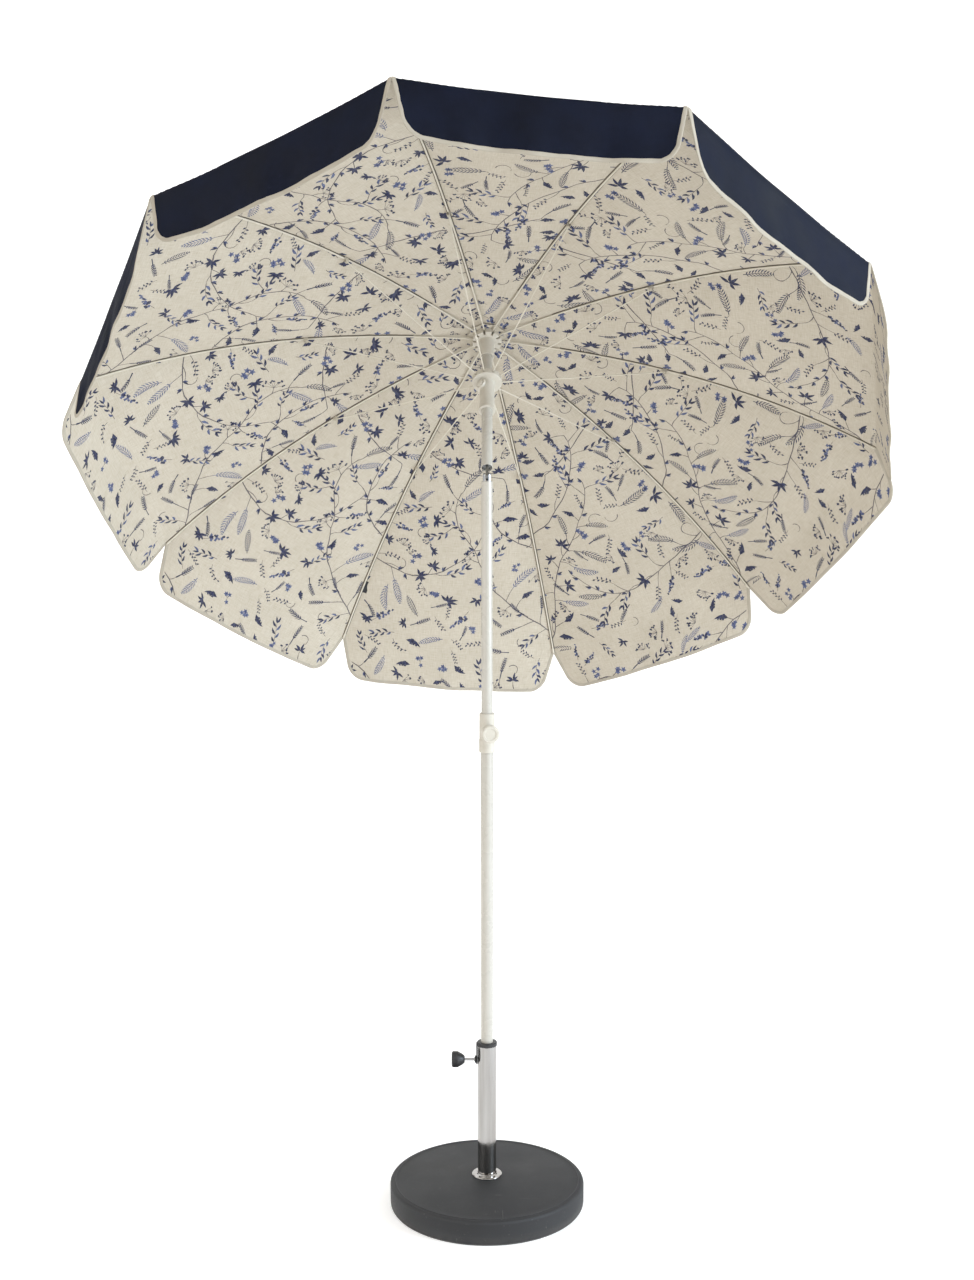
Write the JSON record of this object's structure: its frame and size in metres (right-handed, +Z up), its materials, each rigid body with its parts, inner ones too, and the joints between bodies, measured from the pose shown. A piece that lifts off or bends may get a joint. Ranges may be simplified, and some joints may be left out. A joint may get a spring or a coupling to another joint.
{
  "type": "patio umbrella with base",
  "caption": "Tilting garden parasol with a printed, valanced canopy on a telescopic mast, standing in a round weighted base with a clamp screw.",
  "frame": {"origin": "centre of the base's flat underside, on the mast's axis", "axes": "+Z up along the mast; the tilted head leans towards +Y, and the clamp knob is on the -X side"},
  "size_m": [1.8978, 1.28, 2.454],
  "materials": {
    "base_plastic": "matte",
    "base_under": "matte",
    "concrete": "matte",
    "steel": "satin",
    "chrome": "polished",
    "zinc": "satin",
    "black_plastic": "satin",
    "white_plastic": "satin",
    "white_pole": "gloss",
    "cream_metal": "satin",
    "canopy_cloth": "matte"
  },
  "bodies": {
    "stand": {"base_shell": "base_plastic", "base_plate": "base_under", "base_ballast": "concrete", "tube_foot_flange": "steel", "base_tube": "chrome", "base_flange": "chrome", "tube_collar": "black_plastic", "clamp_nut": "steel"},
    "clamp_stud": {"clamp_screw": "steel"},
    "clamp_handle": {"clamp_knob": "black_plastic"},
    "turn_bush": {"reducer_bush": "black_plastic"},
    "lower_mast": {"lower_pole": "white_pole", "pole_foot_cap": "black_plastic", "height_sleeve": "white_plastic"},
    "height_stud": {"height_screw": "steel"},
    "height_handle": {"height_knob": "white_plastic"},
    "middle_mast": {"middle_pole": "white_pole", "middle_pole_plug": "white_plastic", "tilt_fork": "zinc", "tilt_pin": "steel"},
    "head": {"tilt_tongue": "zinc", "upper_pole": "white_pole", "crown": "white_plastic", "crown_wire": "steel", "finial": "white_plastic"},
    "slider": {"runner": "white_plastic", "runner_wire": "steel"},
    "push_button": {"runner_button": "white_plastic"},
    "rib_arm_01": {"rib_01": "cream_metal", "canopy_01": "canopy_cloth"},
    "strut_01": {"stretcher_01": "cream_metal"},
    "rib_arm_02": {"rib_02": "cream_metal", "canopy_02": "canopy_cloth"},
    "strut_02": {"stretcher_02": "cream_metal"},
    "rib_arm_03": {"rib_03": "cream_metal", "canopy_03": "canopy_cloth"},
    "strut_03": {"stretcher_03": "cream_metal"},
    "rib_arm_04": {"rib_04": "cream_metal", "canopy_04": "canopy_cloth"},
    "strut_04": {"stretcher_04": "cream_metal"},
    "rib_arm_05": {"rib_05": "cream_metal", "canopy_05": "canopy_cloth"},
    "strut_05": {"stretcher_05": "cream_metal"},
    "rib_arm_06": {"rib_06": "cream_metal", "canopy_06": "canopy_cloth"},
    "strut_06": {"stretcher_06": "cream_metal"},
    "rib_arm_07": {"rib_07": "cream_metal", "canopy_07": "canopy_cloth"},
    "strut_07": {"stretcher_07": "cream_metal"},
    "rib_arm_08": {"rib_08": "cream_metal", "canopy_08": "canopy_cloth"},
    "strut_08": {"stretcher_08": "cream_metal"},
    "rib_arm_09": {"rib_09": "cream_metal", "canopy_09": "canopy_cloth"},
    "strut_09": {"stretcher_09": "cream_metal"},
    "rib_arm_10": {"rib_10": "cream_metal", "canopy_10": "canopy_cloth"},
    "strut_10": {"stretcher_10": "cream_metal"}
  },
  "joints": [
    {"name": "clamp_feed", "type": "slide", "parent": "stand", "child": "clamp_stud", "axis": [-1, 0, 0], "range_m": [0, 0.0021]},
    {"name": "clamp_turn", "type": "hinge", "parent": "clamp_stud", "child": "clamp_handle", "pos_m": [0, 0, 0.345], "axis": [-1, 0, 0], "range_deg": [0, 720]},
    {"name": "mast_turn", "type": "hinge", "parent": "stand", "child": "turn_bush", "pos_m": [0, 0, 0], "axis": [0, 0, 1], "continuous": true},
    {"name": "mast_lift", "type": "slide", "parent": "turn_bush", "child": "lower_mast", "axis": [0, 0, 1], "range_m": [0, 0.3]},
    {"name": "height_slide", "type": "slide", "parent": "lower_mast", "child": "middle_mast", "axis": [0, 0, 1], "range_m": [-0.45, 0.15]},
    {"name": "height_feed", "type": "slide", "parent": "lower_mast", "child": "height_stud", "axis": [0.1736, -0.9848, 0], "range_m": [0, 0.002]},
    {"name": "height_turn", "type": "hinge", "parent": "height_stud", "child": "height_handle", "pos_m": [0, 0, 1.115], "axis": [0.1736, -0.9848, 0], "range_deg": [0, 720]},
    {"name": "head_tilt", "type": "hinge", "parent": "middle_mast", "child": "head", "pos_m": [0, 0, 1.6854], "axis": [1, 0, 0], "range_deg": [0, 45]},
    {"name": "runner_slide", "type": "slide", "parent": "head", "child": "slider", "axis": [0, -0.7071, -0.7071], "range_m": [0, 0.165]},
    {"name": "button_press", "type": "slide", "parent": "slider", "child": "push_button", "axis": [0.7071, 0.5, -0.5], "range_m": [0, 0.003], "stiffness_N_per_m": 600, "springref_m": -0.001},
    {"name": "rib_hinge_01", "type": "hinge", "parent": "head", "child": "rib_arm_01", "pos_m": [-0.00588, 0.28941, 2.01641], "axis": [0.9806, -0.1386, 0.1386], "range_deg": [0, 13.5], "deforming": ["canopy_01"]},
    {"name": "strut_hinge_01", "type": "hinge", "parent": "slider", "child": "strut_01", "pos_m": [-0.00588, 0.19204, 1.91904], "axis": [0.9806, -0.1386, 0.1386], "range_deg": [-11.5, 0]},
    {"name": "rib_hinge_02", "type": "hinge", "parent": "head", "child": "rib_arm_02", "pos_m": [0.01254, 0.29093, 2.01488], "axis": [0.9085, 0.2955, -0.2955], "range_deg": [0, 13.5], "deforming": ["canopy_02"]},
    {"name": "strut_hinge_02", "type": "hinge", "parent": "slider", "child": "strut_02", "pos_m": [0.01254, 0.19357, 1.91751], "axis": [0.9085, 0.2955, -0.2955], "range_deg": [-11.5, 0]},
    {"name": "rib_hinge_03", "type": "hinge", "parent": "head", "child": "rib_arm_03", "pos_m": [0.02616, 0.29983, 2.00599], "axis": [0.4894, 0.6166, -0.6166], "range_deg": [0, 13.5], "deforming": ["canopy_03"]},
    {"name": "strut_hinge_03", "type": "hinge", "parent": "slider", "child": "strut_03", "pos_m": [0.02616, 0.20246, 1.90862], "axis": [0.4894, 0.6166, -0.6166], "range_deg": [-11.5, 0]},
    {"name": "rib_hinge_04", "type": "hinge", "parent": "head", "child": "rib_arm_04", "pos_m": [0.02979, 0.31268, 1.99313], "axis": [-0.1167, 0.7023, -0.7023], "range_deg": [0, 13.5], "deforming": ["canopy_04"]},
    {"name": "strut_hinge_04", "type": "hinge", "parent": "slider", "child": "strut_04", "pos_m": [0.02979, 0.21531, 1.89576], "axis": [-0.1167, 0.7023, -0.7023], "range_deg": [-11.5, 0]},
    {"name": "rib_hinge_05", "type": "hinge", "parent": "head", "child": "rib_arm_05", "pos_m": [0.02205, 0.32459, 1.98122], "axis": [-0.6782, 0.5197, -0.5197], "range_deg": [0, 13.5], "deforming": ["canopy_05"]},
    {"name": "strut_hinge_05", "type": "hinge", "parent": "slider", "child": "strut_05", "pos_m": [0.02205, 0.22723, 1.88385], "axis": [-0.6782, 0.5197, -0.5197], "range_deg": [-11.5, 0]},
    {"name": "rib_hinge_06", "type": "hinge", "parent": "head", "child": "rib_arm_06", "pos_m": [0.00588, 0.33101, 1.97481], "axis": [-0.9806, 0.1386, -0.1386], "range_deg": [0, 13.5], "deforming": ["canopy_06"]},
    {"name": "strut_hinge_06", "type": "hinge", "parent": "slider", "child": "strut_06", "pos_m": [0.00588, 0.23364, 1.87744], "axis": [-0.9806, 0.1386, -0.1386], "range_deg": [-11.5, 0]},
    {"name": "rib_hinge_07", "type": "hinge", "parent": "head", "child": "rib_arm_07", "pos_m": [-0.01254, 0.32948, 1.97633], "axis": [-0.9085, -0.2955, 0.2955], "range_deg": [0, 13.5], "deforming": ["canopy_07"]},
    {"name": "strut_hinge_07", "type": "hinge", "parent": "slider", "child": "strut_07", "pos_m": [-0.01254, 0.23211, 1.87897], "axis": [-0.9085, -0.2955, 0.2955], "range_deg": [-11.5, 0]},
    {"name": "rib_hinge_08", "type": "hinge", "parent": "head", "child": "rib_arm_08", "pos_m": [-0.02616, 0.32059, 1.98523], "axis": [-0.4894, -0.6166, 0.6166], "range_deg": [0, 13.5], "deforming": ["canopy_08"]},
    {"name": "strut_hinge_08", "type": "hinge", "parent": "slider", "child": "strut_08", "pos_m": [-0.02616, 0.22322, 1.88786], "axis": [-0.4894, -0.6166, 0.6166], "range_deg": [-11.5, 0]},
    {"name": "rib_hinge_09", "type": "hinge", "parent": "head", "child": "rib_arm_09", "pos_m": [-0.02979, 0.30773, 1.99808], "axis": [0.1167, -0.7023, 0.7023], "range_deg": [0, 13.5], "deforming": ["canopy_09"]},
    {"name": "strut_hinge_09", "type": "hinge", "parent": "slider", "child": "strut_09", "pos_m": [-0.02979, 0.21036, 1.90071], "axis": [0.1167, -0.7023, 0.7023], "range_deg": [-11.5, 0]},
    {"name": "rib_hinge_10", "type": "hinge", "parent": "head", "child": "rib_arm_10", "pos_m": [-0.02205, 0.29582, 2.00999], "axis": [0.6782, -0.5197, 0.5197], "range_deg": [0, 13.5], "deforming": ["canopy_10"]},
    {"name": "strut_hinge_10", "type": "hinge", "parent": "slider", "child": "strut_10", "pos_m": [-0.02205, 0.19845, 1.91263], "axis": [0.6782, -0.5197, 0.5197], "range_deg": [-11.5, 0]}
  ],
  "couplings": [
    {"joint": "clamp_feed", "follows": "clamp_turn", "m_per_rad": 0.00015915},
    {"joint": "height_feed", "follows": "height_turn", "m_per_rad": 0.00015915},
    {"joint": "rib_hinge_01", "follows": "runner_slide", "rad_per_m": 1.406},
    {"joint": "strut_hinge_01", "follows": "runner_slide", "rad_per_m": -1.2002},
    {"joint": "rib_hinge_02", "follows": "runner_slide", "rad_per_m": 1.406},
    {"joint": "strut_hinge_02", "follows": "runner_slide", "rad_per_m": -1.2002},
    {"joint": "rib_hinge_03", "follows": "runner_slide", "rad_per_m": 1.406},
    {"joint": "strut_hinge_03", "follows": "runner_slide", "rad_per_m": -1.2002},
    {"joint": "rib_hinge_04", "follows": "runner_slide", "rad_per_m": 1.406},
    {"joint": "strut_hinge_04", "follows": "runner_slide", "rad_per_m": -1.2002},
    {"joint": "rib_hinge_05", "follows": "runner_slide", "rad_per_m": 1.406},
    {"joint": "strut_hinge_05", "follows": "runner_slide", "rad_per_m": -1.2002},
    {"joint": "rib_hinge_06", "follows": "runner_slide", "rad_per_m": 1.406},
    {"joint": "strut_hinge_06", "follows": "runner_slide", "rad_per_m": -1.2002},
    {"joint": "rib_hinge_07", "follows": "runner_slide", "rad_per_m": 1.406},
    {"joint": "strut_hinge_07", "follows": "runner_slide", "rad_per_m": -1.2002},
    {"joint": "rib_hinge_08", "follows": "runner_slide", "rad_per_m": 1.406},
    {"joint": "strut_hinge_08", "follows": "runner_slide", "rad_per_m": -1.2002},
    {"joint": "rib_hinge_09", "follows": "runner_slide", "rad_per_m": 1.406},
    {"joint": "strut_hinge_09", "follows": "runner_slide", "rad_per_m": -1.2002},
    {"joint": "rib_hinge_10", "follows": "runner_slide", "rad_per_m": 1.406},
    {"joint": "strut_hinge_10", "follows": "runner_slide", "rad_per_m": -1.2002}
  ]
}
